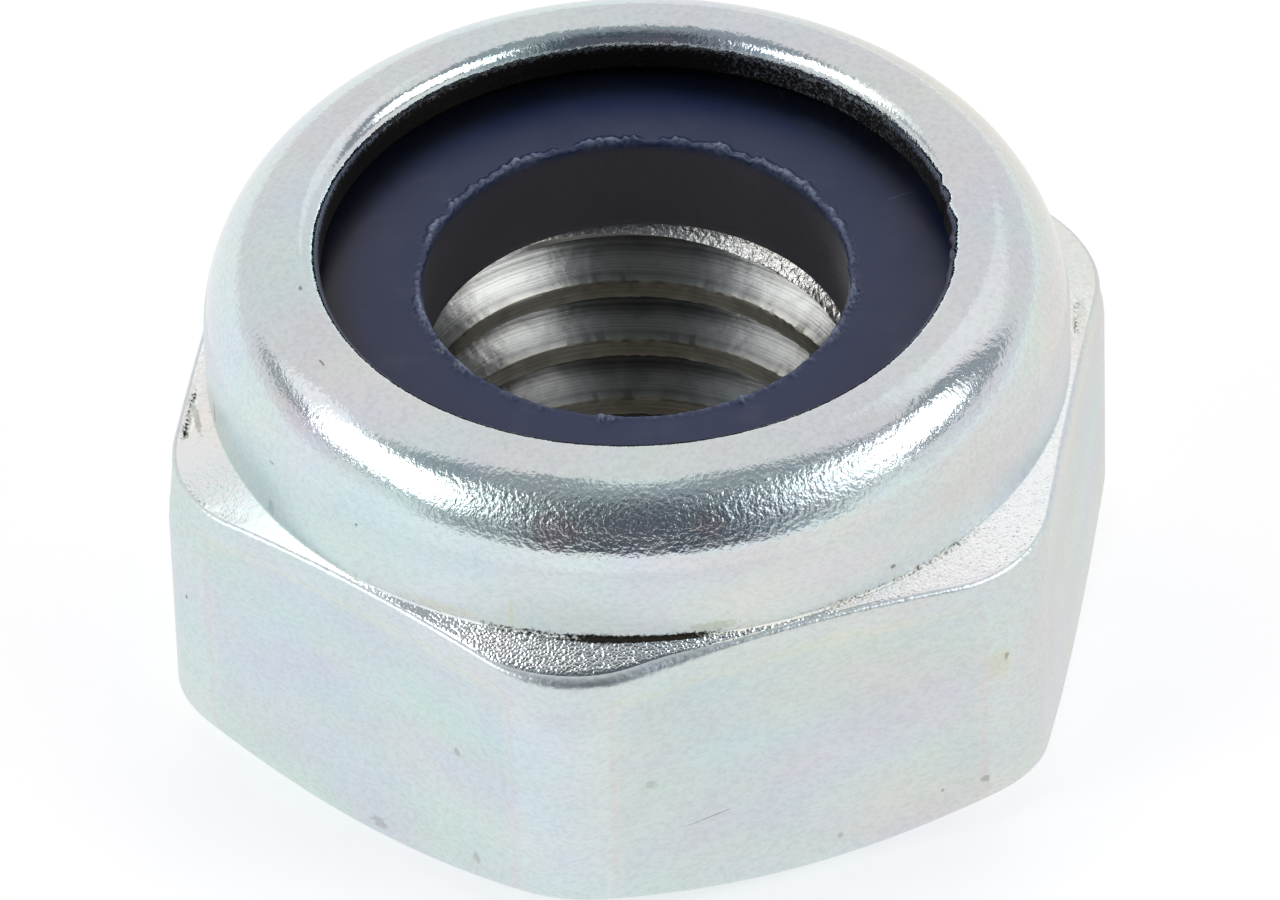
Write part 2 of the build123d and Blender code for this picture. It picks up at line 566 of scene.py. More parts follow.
@dataclass
class SteelBody:
    """The nut's steel body: hexagon, ledge, collar, rolled lip, pocket and thread, in millimetres.

    Attributes:
        hexagon: The outline of the wrench flats.
        thread: The cut thread in the bore.
        height: Height over the rolled lip.
        hexagon_height: Height of the ledge where it meets the collar.
        ledge_slope: Degrees that the ledge falls outwards.
        ledge_rim: Radius of the rolled edge round the ledge, at the flats.
        corner_rim: Radius of that edge at the corners.
        bearing_radius: Radius of the flat bearing face.
        bearing_slope: Degrees that the bearing chamfer rises outwards.
        bearing_rim: Radius where that chamfer turns into the flats.
        collar_radius: Radius of the collar's straight wall.
        shoulder_height: Height where the collar starts to turn in.
        crown_radius: Distance from the axis to the top of the dome.
        lip_radius: Radius of the opening inside the rolled lip.
        lip_edge: Radius of the lip's inner edge.
        lip_foot: Height where the lip's wall turns back over the ring.
        pocket_radius: Radius of the ring's pocket.
        pocket_top: Height of the underside of the lip.
        pocket_bevel: Bevel in the pocket's upper corner.
        seat_height: Height of the seat under the ring.
        stations: The rings of the surface, from the bearing face to the seat.
        finishes: The material of each zone, in the zones' order.
        nicks: Small dents that it got in use.
    """

    hexagon: Hexagon
    thread: Thread
    height: float
    hexagon_height: float = 6.44
    ledge_slope: float = 15.0
    ledge_rim: float = 0.12
    corner_rim: float = 0.27
    bearing_radius: float = 8.05
    bearing_slope: float = 30.0
    bearing_rim: float = 0.3
    collar_radius: float = 8.34
    shoulder_height: float = 7.41
    crown_radius: float = 6.59
    lip_radius: float = 6.05
    lip_edge: float = 0.5
    lip_foot: float = 8.74
    pocket_radius: float = POCKET_RADIUS
    pocket_top: float = 8.43
    pocket_bevel: float = RING_BEVEL
    seat_height: float = SEAT_HEIGHT
    stations: list[Station] = field(default_factory=list)
    finishes: list[bpy.types.Material] = field(default_factory=list)
    nicks: tuple[Nick, ...] = ()

    def chamfer_rise(self, angle: np.ndarray, inset: float = 0.0) -> np.ndarray:
        """Height of the bearing chamfer where the hexagon, moved in by inset, cuts it."""
        out = self.hexagon.reach(angle, inset) - self.bearing_radius
        return out * math.tan(math.radians(self.bearing_slope))

    def ledge_rise(self, angle: np.ndarray, inset: float = 0.0) -> np.ndarray:
        """Height of the ledge where the flared hexagon, moved in by inset, cuts it."""
        out = self.hexagon.reach(angle, inset, flare=1.0) - self.collar_radius
        return self.hexagon_height - out * math.tan(math.radians(self.ledge_slope))

    def rim_station(self, zone: Zone, turn: float, low: bool) -> Station:
        """A ring on the rolled edge at the top or the bottom of the flats.

        Args:
            zone: The finish of the stretch that starts here.
            turn: How far the edge has turned away from the flats, in radians.
            low: True at the bearing chamfer, False at the ledge.

        Returns:
            The ring.
        """
        radius = level(self.bearing_rim) if low else self.rim_radius
        slope = math.radians(self.bearing_slope if low else self.ledge_slope)
        start = math.tan(slope) - 1 / math.cos(slope)
        side = -1 if low else 1
        flare = 0.0 if low else 1.0
        edge = self.chamfer_rise if low else self.ledge_rise
        return Station(
            zone,
            lambda angle: self.hexagon.reach(angle, radius(angle) * (1 - math.cos(turn)), flare),
            lambda angle: edge(angle) + side * radius(angle) * (start + math.sin(turn)),
        )

    def rim_radius(self, angle: np.ndarray) -> np.ndarray:
        """Radius of the rolled edge round the ledge, which the die rounded most at the front corner."""
        return self.ledge_rim + (self.corner_rim - self.ledge_rim) * ROUNDED_CORNER.share(angle)

    def painted_crease_shade(self, angle: np.ndarray) -> np.ndarray:
        """Painted shade in the crease behind the ledge, thickest near the front corner."""
        front = 0.95 * SHADED_CREASE_FRONT.share(angle) + 0.4 * SHADED_CREASE_LEFT.share(angle)
        return np.clip(0.08 + front + 0.25 * SHADED_CREASE_RIGHT.share(angle), 0.0, 1.0)

    def painted_wall_shade(self, angle: np.ndarray) -> np.ndarray:
        """Painted shade on the lip's wall, standing in for the dark ring that it mirrors, less on the side
        where the wall catches the light.
        """
        return 0.99 - 0.25 * RUBBED_AND_LIT_WALL.share(angle)

    def chipped(self, angle: np.ndarray) -> np.ndarray:
        """How ragged the foot of the lip's wall is: chipped on one side, even elsewhere."""
        return 0.006 + 0.07 * CHIPPED_RIGHT.share(angle) + 0.05 * CHIPPED_FRONT.share(angle)

    def grit(self, angle: np.ndarray) -> np.ndarray:
        """How coarse the die left the ledge, from corner to corner.

        Args:
            angle: Angles round the axis in radians.

        Returns:
            A share for each angle, which may go a little over 1.
        """
        rough = COARSE_FRONT.share(angle) + 0.12 * COARSE_RIGHT.share(angle)
        rough = 0.12 + 0.88 * np.clip(rough, 0.0, 1.0) + 0.3 * COARSE_BACK.share(angle)
        rough = rough + 0.18 * STRUCK_FLAT.share(angle)
        return rough - 0.07 * SMOOTH_LEFT.share(angle)

    def ledge_lean(self, angle: np.ndarray) -> np.ndarray:
        """How far the ledge's grains lean outwards, least where the die came down flat."""
        return 1.0 - 0.78 * STRUCK_FLAT.share(angle)

    def speckle(self, angle: np.ndarray, turn: float) -> np.ndarray:
        """How coarse the rolling tool left the dome.

        Args:
            angle: Angles round the axis in radians.
            turn: How far the dome's section has turned in there, in radians.

        Returns:
            A share for each angle.
        """
        burnished = smooth_step(turn, 0.24, 0.38)
        band = smooth_step(turn, 0.5, 0.72) * smooth_step(-turn, -1.2, -0.95)
        return 0.1 * burnished + band * (0.14 + 0.8 * SPECKLED_DOME.share(angle))

    def wall_grit(self, angle: np.ndarray) -> np.ndarray:
        """How coarse the punch left the lip's inner side, most where it scuffed the wall."""
        return 0.1 + 0.28 * RUBBED_AND_LIT_WALL.share(angle) + 0.22 * SCUFFED_WALL.share(angle)

    def bearing_side(self) -> None:
        """Rings of the flat bearing face and the chamfer round it."""
        for radius in (self.thread.mouth_radius, 5.6, 6.6, 7.6, self.bearing_radius - 0.06):
            self.stations.append(Station(Zone.PLATED, level(radius), level(0.0)))
        last_inset = self.bearing_rim * (1 - math.cos(math.radians(90 - self.bearing_slope)))
        for share in (0.12, 0.4, 0.7, 0.95):
            self.stations.append(
                Station(
                    Zone.PLATED,
                    lambda angle, share=share: self.chamfer_reach(angle, share, last_inset),
                    lambda angle, share=share: self.chamfer_height(angle, share, last_inset),
                )
            )

    def chamfer_reach(self, angle: np.ndarray, share: float, inset: float) -> np.ndarray:
        """Radius a share of the way out across the bearing chamfer."""
        outer = self.hexagon.reach(angle, inset)
        return self.bearing_radius + (outer - self.bearing_radius) * share

    def chamfer_height(self, angle: np.ndarray, share: float, inset: float) -> np.ndarray:
        """Height a share of the way out across the bearing chamfer."""
        out = self.chamfer_reach(angle, share, inset) - self.bearing_radius
        return out * math.tan(math.radians(self.bearing_slope))

    def wrench_flats(self) -> None:
        """Rings of the lower rolled edge, the flats and the upper rolled edge."""
        low_turn = math.radians(90 - self.bearing_slope)
        for turn in np.linspace(low_turn, 0.0, 6):
            self.stations.append(self.rim_station(Zone.PLATED, turn, low=True))
        low = self.rim_station(Zone.PLATED, 0.0, low=True)
        high = self.rim_station(Zone.PLATED, 0.0, low=False)
        for share in np.linspace(0.0, 1.0, 20)[1:-1]:
            flare = float(smooth_step(np.array(share), FLARE_START, 1.0))
            self.stations.append(
                Station(
                    Zone.PLATED,
                    lambda angle, flare=flare: self.hexagon.reach(angle, flare=flare),
                    lambda angle, share=share: low.rise(angle) * (1 - share) + high.rise(angle) * share,
                )
            )
        high_turn = math.radians(90 - self.ledge_slope)
        for turn in np.linspace(0.0, high_turn, 8):
            zone = Zone.FORGED if turn == high_turn else Zone.PLATED
            self.stations.append(replace(self.rim_station(zone, turn, low=False), grit=level(0.1)))

    def ledge_and_collar(self) -> None:
        """Rings of the ledge, the crease at its back and the collar's straight wall."""
        fall = math.tan(math.radians(self.ledge_slope))
        for share in (0.85, 0.7, 0.55, 0.4, 0.25, 0.12, 0.04, 0.0):
            self.stations.append(
                Station(
                    Zone.FORGED,
                    lambda angle, share=share: self.ledge_reach(angle, share),
                    lambda angle, share=share: self.hexagon_height
                    - (self.ledge_reach(angle, share) - self.collar_radius) * fall,
                    painted_shade=self.painted_crease_shade if share < CREASE_SHARE else level(0.0),
                    grit=self.grit,
                )
            )
        for height, share in ((0.05, 1.0), (0.1, 0.9), (0.14, 0.35), (0.19, 0.0), (0.35, 0.0), (0.6, 0.0)):
            rise = level(self.hexagon_height + height)
            painted_shade = part_of(share, self.painted_crease_shade)
            self.stations.append(Station(Zone.ROLLED, level(self.collar_radius), rise, painted_shade))

    def ledge_reach(self, angle: np.ndarray, share: float) -> np.ndarray:
        """Goes out from the collar to the rolled edge of the ledge.

        Args:
            angle: Angles round the axis in radians.
            share: How far out, from 0 to 1.

        Returns:
            The radius at each angle.
        """
        inset = self.rim_radius(angle) * (1 - math.cos(math.radians(90 - self.ledge_slope)))
        outer = np.maximum(self.hexagon.reach(angle, inset, 1.0), self.collar_radius + 0.01)
        return self.collar_radius + 0.004 + (outer - self.collar_radius - 0.004) * share

    def dome_and_lip(self) -> None:
        """Rings of the dome, the lip's inner edge and the wall down to the ring."""
        width = self.collar_radius - self.crown_radius
        tall = self.height - self.shoulder_height
        for turn in np.linspace(0.0, math.pi / 2, 37):
            radius = self.crown_radius + width * math.cos(turn)
            height = self.shoulder_height + tall * math.sin(turn)
            self.stations.append(
                Station(
                    Zone.ROLLED,
                    level(radius),
                    level(height),
                    grit=lambda angle, turn=turn: self.speckle(angle, turn),
                )
            )
        centre = self.lip_radius + self.lip_edge
        for turn in np.linspace(0.0, math.pi / 2, 9):
            radius = centre - self.lip_edge * math.sin(turn)
            height = self.height - self.lip_edge * (1 - math.cos(turn))
            self.wall_station(radius, height, smooth_step(turn, 1.15, 1.5), smooth_step(turn, 0.6, 1.3))
        for height in np.linspace(self.height - self.lip_edge, self.lip_foot, 5)[1:]:
            self.wall_station(self.lip_radius, height)
        under = self.lip_foot - self.pocket_top
        for share in (0.1, 0.3, 0.6, 1.0):
            self.wall_station(self.lip_radius + 0.3 * share**0.7, self.lip_foot - under * share)

    def wall_station(self, radius: float, height: float, shade_share: float = 1.0, uneven: float = 1.0) -> None:
        """Adds a ring of the lip's inner side.

        Args:
            radius: The ring's radius.
            height: The ring's height.
            shade_share: Its share of the painted shade on the wall.
            uneven: Its share of the chips at the wall's foot.
        """
        self.stations.append(
            Station(
                Zone.ROLLED,
                level(radius),
                level(height),
                painted_shade=part_of(shade_share, self.painted_wall_shade),
                grit=self.wall_grit,
                ragged=part_of(uneven, self.chipped),
            )
        )

    def pocket(self) -> None:
        """Rings of the hidden pocket, down to the seat and in to the thread."""
        corner = self.pocket_radius - self.pocket_bevel
        for radius, height in (
            (corner, self.pocket_top),
            (self.pocket_radius, self.pocket_top - self.pocket_bevel),
            (self.pocket_radius, self.seat_height),
            (5.4, self.seat_height),
        ):
            self.stations.append(Station(Zone.THREADED, level(radius), level(height)))
        self.stations.append(
            Station(
                Zone.THREADED,
                lambda angle: self.thread.groove(angle, np.full_like(angle, self.seat_height)),
                level(self.seat_height),
            )
        )

    def build(self) -> bpy.types.Object:
        """Draws the section, turns it, presses the hexagon and joins the thread to it.

        Returns:
            The finished steel body, as one closed mesh.
        """
        self.bearing_side()
        self.wrench_flats()
        self.ledge_and_collar()
        self.dome_and_lip()
        self.pocket()
        flat_middle = np.array([CORNER_STEP / 2])
        outline = [
            (float(at.reach(flat_middle)[0]), float(at.rise(flat_middle)[0])) for at in self.stations
        ]
        piece = draw_wire("steel_body", outline)
        turn_wire(piece, STEPS_ROUND)
        self.press_hexagon(piece)
        thread = self.thread.build()
        for finish in self.finishes:
            piece.data.materials.append(finish)
            thread.data.materials.append(finish)
        self.mark_zones(piece)
        self.join(piece, thread)
        return piece

    def press_hexagon(self, piece: bpy.types.Object) -> None:
        """Moves each ring of the turned blank to its true radius and height at every angle.

        Args:
            piece: The turned blank, with its "station" attribute.
        """
        places = points_of(piece)
        angle = np.arctan2(places[:, 1], places[:, 0])
        ring = np.round(numbers_on(piece, "station"))
        reach, rise, painted_shade, grit = np.empty((4, len(places)))
        for number, station in enumerate(self.stations):
            on_ring = ring == number
            around = angle[on_ring]
            stray = cloudy(places[on_ring], 0.3e-3, seed=6.0) + 0.4 * cloudy(places[on_ring], 0.12e-3)
            reach[on_ring] = station.reach(around) + station.ragged(around) * stray
            rise[on_ring] = station.rise(around)
            painted_shade[on_ring] = station.painted_shade(around)
            grit[on_ring] = station.grit(around)
        places = np.column_stack((reach * np.cos(angle), reach * np.sin(angle), rise))
        # each dent sinks the steel and gets painted shade in its bottom
        for nick in self.nicks:
            near = nick.nearness(places)
            places[:, 2] -= nick.depth * near
            painted_shade = np.maximum(painted_shade, nick.bottom_shade * near)
        put_points(piece, places * MM)
        # painted shade in the creases, on the lip's wall and in the dents
        keep_on_points(piece, "painted_shade", painted_shade)
        keep_on_points(piece, "grit", grit)
        keep_on_points(piece, "lean", self.ledge_lean(angle))
        keep_on_points(piece, "below_ledge", self.ledge_rise(angle) - rise)
        half = self.hexagon.across_flats / 2
        off_middle = CORNER_STEP / 2 - self.hexagon.off_corner(angle)
        along_flat = half * (math.tan(CORNER_STEP / 2) - np.tan(off_middle))
        keep_on_points(piece, "off_corner", along_flat * (rise > 0.0))

    def mark_zones(self, piece: bpy.types.Object) -> None:
        """Gives each face the material slot of the zone that its first ring starts.

        Args:
            piece: The pressed blank.
        """
        ring = numbers_on(piece, "station")
        for face in piece.data.polygons:
            first = int(round(min(ring[corner] for corner in face.vertices)))
            face.material_index = self.stations[first].zone.value

    def join(self, piece: bpy.types.Object, thread: bpy.types.Object) -> None:
        """Joins the thread to the body and closes the seams between them.

        Args:
            piece: The pressed blank.
            thread: The thread's surface, which becomes part of it.
        """
        for face in thread.data.polygons:
            face.material_index = Zone.THREADED.value
        bpy.ops.object.select_all(action="DESELECT")
        thread.select_set(True)
        piece.select_set(True)
        bpy.context.view_layer.objects.active = piece
        bpy.ops.object.join()
        close_seams(piece, gap=1e-6)
        bpy.ops.object.shade_smooth_by_angle(angle=SMOOTH_ANGLE)


@dataclass
class LockingRing:
    """The nylon ring held under the lip, with a frayed edge where its bore was punched. Millimetres.

    Attributes:
        bore_radius: Radius of the bore.
        outer_radius: Radius inside the pocket.
        seat_height: Height of the underside.
        thickness: Height of the ring.
        corner_bevel: Bevel of the upper outer corner.
        burr: Tallest height of the frayed edge round the bore.
        steps: Divisions of one turn.
    """

    bore_radius: float
    outer_radius: float = POCKET_RADIUS - RING_CLEARANCE
    seat_height: float = SEAT_HEIGHT
    thickness: float = 2.1
    corner_bevel: float = RING_BEVEL
    burr: float = 0.15
    steps: int = 720

    def outline(self) -> list[tuple[float, float]]:
        """Lays out the ring's section, from the bore's upper edge out over the top and back.

        Returns:
            Points as radius and height, the last one where the first one is.
        """
        top = self.seat_height + self.thickness
        bore = self.bore_radius
        corner = self.outer_radius - self.corner_bevel
        points = [(bore, top - 0.12), (bore + 0.01, top - 0.05), (bore + 0.035, top - 0.012)]
        points += [(bore + out, top) for out in (0.07, 0.1, 0.13, 0.16, 0.19, 0.22, 0.26, 0.31, 0.38)]
        points += [(radius, top) for radius in np.linspace(bore + 0.5, corner, 14)]
        points += [(self.outer_radius, top - self.corner_bevel), (self.outer_radius, self.seat_height)]
        points += [(bore + 1.0, self.seat_height), (bore + 0.08, self.seat_height)]
        points += [(bore, height) for height in np.linspace(self.seat_height + 0.08, top - 0.12, 16)]
        return points

    def build(self) -> bpy.types.Object:
        """Turns the section and raises the frayed edge.

        Returns:
            The finished ring, as one closed mesh.
        """
        piece = draw_wire("locking_ring", self.outline())
        turn_wire(piece, self.steps)
        close_seams(piece)
        self.fray(piece)
        return piece

    def fray(self, piece: bpy.types.Object) -> None:
        """Lifts and ripples the upper edge of the bore, and keeps how frayed each vertex is.

        Args:
            piece: The turned ring.
        """
        places = points_of(piece)
        angle = np.arctan2(places[:, 1], places[:, 0])
        reach = np.hypot(places[:, 0], places[:, 1]) / MM
        height = places[:, 2] / MM
        top = self.seat_height + self.thickness
        round_edge = np.column_stack((np.cos(angle), np.sin(angle), np.zeros_like(angle)))
        slow = cloudy(round_edge, 0.3, seed=4.0)
        notched = cloudy(round_edge, 0.09, seed=2.0)
        fine = cloudy(round_edge, 0.03, seed=9.0)
        tear = np.clip(0.35 + 0.8 * slow + 0.6 * notched + 0.5 * fine, 0.04, 1.1)
        for arc in FRAYED_BORE:
            tear = np.maximum(tear, arc.share(angle) * (0.75 + 0.5 * fine))
        width = 0.045 + 0.07 * np.clip(tear, 0.0, 1.0)
        across = np.exp(-(((reach - self.bore_radius - 0.09) / width) ** 2))
        near_top = smooth_step(height, top - 0.12, top - 0.01)
        lift = self.burr * across * tear * near_top
        stray = 0.04 * slow + 0.05 * notched + 0.05 * fine
        ragged = stray * smooth_step(-reach, -self.bore_radius - 0.3, -self.bore_radius)
        keep_on_points(piece, "fray", across * near_top * np.clip(tear, 0.0, 1.0))
        keep_on_points(piece, "shade", self.shade(angle, reach))
        # colours the bore's wall a neutral dark grey instead of blue, below its upper edge
        grey_bore = smooth_step(-height, -top + 0.02, -top + 0.2) * (reach < self.bore_radius + 0.1)
        keep_on_points(piece, "grey_bore", grey_bore)
        reach = reach + ragged * near_top
        places = np.column_stack((reach * np.cos(angle), reach * np.sin(angle), height + lift))
        put_points(piece, places * MM)

    def shade(self, angle: np.ndarray, reach: np.ndarray) -> np.ndarray:
        """How dark each vertex lies under the lip's foot."""
        return 0.9 * smooth_step(reach, 5.25, 5.95) * SHADED_SIDE.share(angle)


class NodeBench:
    """Short ways to lay out the nodes of one shader."""

    def __init__(self, tree: bpy.types.NodeTree) -> None:
        """Clears the tree, so that only the nodes laid out here are in it."""
        tree.nodes.clear()
        self.tree = tree

    def add(
        self, kind: str, inputs: dict[str | int, Feed] | None = None, **settings: str | bool
    ) -> bpy.types.Node:
        """Adds one node.

        Args:
            kind: Blender's name for the type of node.
            inputs: What goes in at each socket: another node's socket, or a plain value.
            **settings: The node's own properties.

        Returns:
            The new node.
        """
        node = self.tree.nodes.new(kind)
        for name, value in settings.items():
            setattr(node, name, value)
        for name, value in (inputs or {}).items():
            self.feed(node.inputs[name], value)
        return node

    def feed(self, socket: bpy.types.NodeSocket, value: Feed) -> None:
        """Puts a plain value in a socket, or links another socket to it.

        Args:
            socket: The socket to fill.
            value: The other socket or the plain value.
        """
        if isinstance(value, bpy.types.NodeSocket):
            self.tree.links.new(value, socket)
        else:
            socket.default_value = value

    def places(self) -> bpy.types.NodeSocket:
        """Places on the object, in metres."""
        return self.add("ShaderNodeTexCoord").outputs["Object"]

    def kept(self, name: str) -> bpy.types.NodeSocket:
        """The numbers kept on the piece's points under a name."""
        return self.add("ShaderNodeAttribute", attribute_name=name).outputs["Fac"]

    def sum(self, kind: str, first: Feed, second: Feed = 0.0) -> bpy.types.NodeSocket:
        """A sum on one or two numbers, of Blender's kind."""
        return self.add("ShaderNodeMath", {0: first, 1: second}, operation=kind).outputs[0]

    def vector(
        self, kind: str, first: Feed, second: Feed = (0, 0, 0), third: Feed = (0, 0, 0)
    ) -> bpy.types.NodeSocket:
        """A sum on up to three vectors, of Blender's kind. A length or a dot product is a plain number."""
        node = self.add("ShaderNodeVectorMath", {0: first, 1: second, 2: third}, operation=kind)
        return node.outputs["Value" if kind in ("LENGTH", "DOT_PRODUCT") else "Vector"]

    def noise(
        self, places: Feed, size: float, detail: float = 2.0, rough: float = 0.5, colour: bool = False
    ) -> bpy.types.NodeSocket:
        """Lumpy noise.

        Args:
            places: Where the noise is wanted, in metres.
            size: How wide its lumps are, in millimetres.
            detail: How many finer layers it has.
            rough: How strong those layers are.
            colour: True for a colour, False for a number.

        Returns:
            Noise from 0 to 1.
        """
        inputs = {"Vector": places, "Scale": 1 / (size * MM), "Detail": detail, "Roughness": rough}
        node = self.add("ShaderNodeTexNoise", inputs)
        return node.outputs["Color" if colour else "Fac"]

    def lines(self, place: Feed, width: float, detail: float = 2.0) -> bpy.types.NodeSocket:
        """Uneven lines about width apart, where place is a length across them."""
        inputs = {"W": place, "Scale": 1 / width, "Detail": detail, "Roughness": 0.6}
        return self.add("ShaderNodeTexNoise", inputs, noise_dimensions="1D").outputs["Fac"]

    def cells(self, places: Feed, size: float) -> bpy.types.NodeSocket:
        """Small domes packed side by side.

        Args:
            places: Where they are wanted, in metres.
            size: How wide one is, in millimetres.

        Returns:
            Their height, from 0 to 1.
        """
        inputs = {"Vector": places, "Scale": 1 / (size * MM), "Smoothness": 0.35}
        node = self.add("ShaderNodeTexVoronoi", inputs, feature="SMOOTH_F1")
        return self.sum("SUBTRACT", 1.0, self.sum("POWER", node.outputs["Distance"], 2.0))

    def ridge(self, value: Feed, middle: float, half: float) -> bpy.types.NodeSocket:
        """Goes from 0 up to 1 at a middle value and back to 0, half a width each side."""
        off = self.sum("ABSOLUTE", self.sum("SUBTRACT", value, middle))
        return self.between(off, half, 0.0)

    def plateau(self, value: Feed, middle: float, half: float) -> bpy.types.NodeSocket:
        """1 within half of a middle value, and 0 a little beyond."""
        off = self.sum("ABSOLUTE", self.sum("SUBTRACT", value, middle))
        return self.between(off, half + 2.0, half - 2.0)

    def tinted(self, share: Feed, colour: Feed, tint: tuple[float, float, float]) -> bpy.types.NodeSocket:
        """A colour multiplied by a tint, by a share."""
        return self.blend(share, colour, self.blend(1.0, colour, (*tint, 1.0), kind="MULTIPLY"))

    def marked(self, places: Feed, colour: Feed, marks: tuple[Mark, ...]) -> bpy.types.NodeSocket:
        """Lays each stain, speck and scratch, and each patch of painted light or shade, over a colour.

        Args:
            places: Places on the object, in metres.
            colour: The colour without them.
            marks: The marks, the lowest first.

        Returns:
            The marked colour.
        """
        wander = self.noise(places, 0.09, detail=2.0)
        for mark in marks:
            turn = math.radians(mark.turn)
            middle = Vector((mark.radius * math.cos(turn), mark.radius * math.sin(turn), mark.height)) * MM
            inputs = {
                "Vector": places,
                "Location": middle,
                "Rotation": (math.radians(mark.tilt), 0.0, turn),
                "Scale": [length * MM for length in mark.size],
            }
            local = self.add("ShaderNodeMapping", inputs, vector_type="TEXTURE").outputs[0]
            off = self.vector("LENGTH", local)
            off = self.sum("ADD", off, self.sum("SUBTRACT", self.sum("MULTIPLY", wander, 1.6), 0.8))
            colour = self.tinted(self.between(off, 1.15, 0.55), colour, mark.colour)
        return colour

    def stretched(self, places: Feed, scale: tuple[float, float, float]) -> bpy.types.NodeSocket:
        """Places drawn out or squeezed along each axis."""
        return self.add("ShaderNodeMapping", {"Vector": places, "Scale": scale}).outputs["Vector"]

    def between(
        self, value: Feed, low: float, high: float, at_low: float = 0.0, at_high: float = 1.0
    ) -> bpy.types.NodeSocket:
        """Goes smoothly from one number to another.

        Args:
            value: The number that it follows.
            low: Where it starts.
            high: Where it ends, which may be less than low.
            at_low: What it is at the start and before.
            at_high: What it is at the end and after.

        Returns:
            The number between them.
        """
        inputs = {"Value": value, "From Min": low, "From Max": high, "To Min": at_low, "To Max": at_high}
        node = self.add("ShaderNodeMapRange", inputs, interpolation_type="SMOOTHSTEP")
        return node.outputs["Result"]

    def blend(self, share: Feed, first: Feed, second: Feed, kind: str = "MIX") -> bpy.types.NodeSocket:
        """Lays a colour over another.

        Args:
            share: How much of the second colour there is, from 0 to 1.
            first: The colour below.
            second: The colour above.
            kind: How they mix, in Blender's word.

        Returns:
            The blended colour.
        """
        node = self.add("ShaderNodeMix", data_type="RGBA", blend_type=kind)
        self.feed(node.inputs["Factor"], share)
        colours = [socket for socket in node.inputs if socket.type == "RGBA"]
        self.feed(colours[0], first)
        self.feed(colours[1], second)
        return next(socket for socket in node.outputs if socket.type == "RGBA")

    def leaning(self, places: Feed, slope: Feed) -> bpy.types.NodeSocket:
        """Leans the surface normal away from the Z axis.

        Args:
            places: Places on the object, in metres.
            slope: How far it leans out, or in where negative.

        Returns:
            The leant normal.
        """
        outward = self.vector("NORMALIZE", self.vector("MULTIPLY", places, (1.0, 1.0, 0.0)))
        sides = {"vector_type": "VECTOR", "convert_from": "OBJECT", "convert_to": "WORLD"}
        outward = self.add("ShaderNodeVectorTransform", {0: outward}, **sides).outputs[0]
        upright = self.add("ShaderNodeNewGeometry").outputs["Normal"]
        leant = self.add("ShaderNodeVectorMath", {0: outward, "Scale": slope}, operation="SCALE").outputs[0]
        return self.vector("NORMALIZE", self.vector("ADD", leant, upright))

    def relief(self, height: Feed, depth: float, below: Feed | None = None) -> bpy.types.NodeSocket:
        """A surface normal that rises and falls with a height from 0 to 1.

        Args:
            height: The height's socket.
            depth: How deep the relief is, in millimetres.
            below: A relief that this one lies on.

        Returns:
            The normal.
        """
        inputs = {"Height": height, "Distance": depth * MM, "Strength": 1.0}
        if below is not None:
            inputs["Normal"] = below
        return self.add("ShaderNodeBump", inputs).outputs["Normal"]

    def finish_with(self, shader: bpy.types.NodeSocket, kind: str = "ShaderNodeOutputMaterial") -> None:
        """Sends the shader to the output."""
        self.add(kind, {"Surface": shader})


def new_material(name: str) -> tuple[bpy.types.Material, NodeBench]:
    """Starts a material.

    Args:
        name: The material's name.

    Returns:
        The material, and the bench that lays out its nodes.
    """
    material = bpy.data.materials.new(name)
    material.use_nodes = True
    return material, NodeBench(material.node_tree)


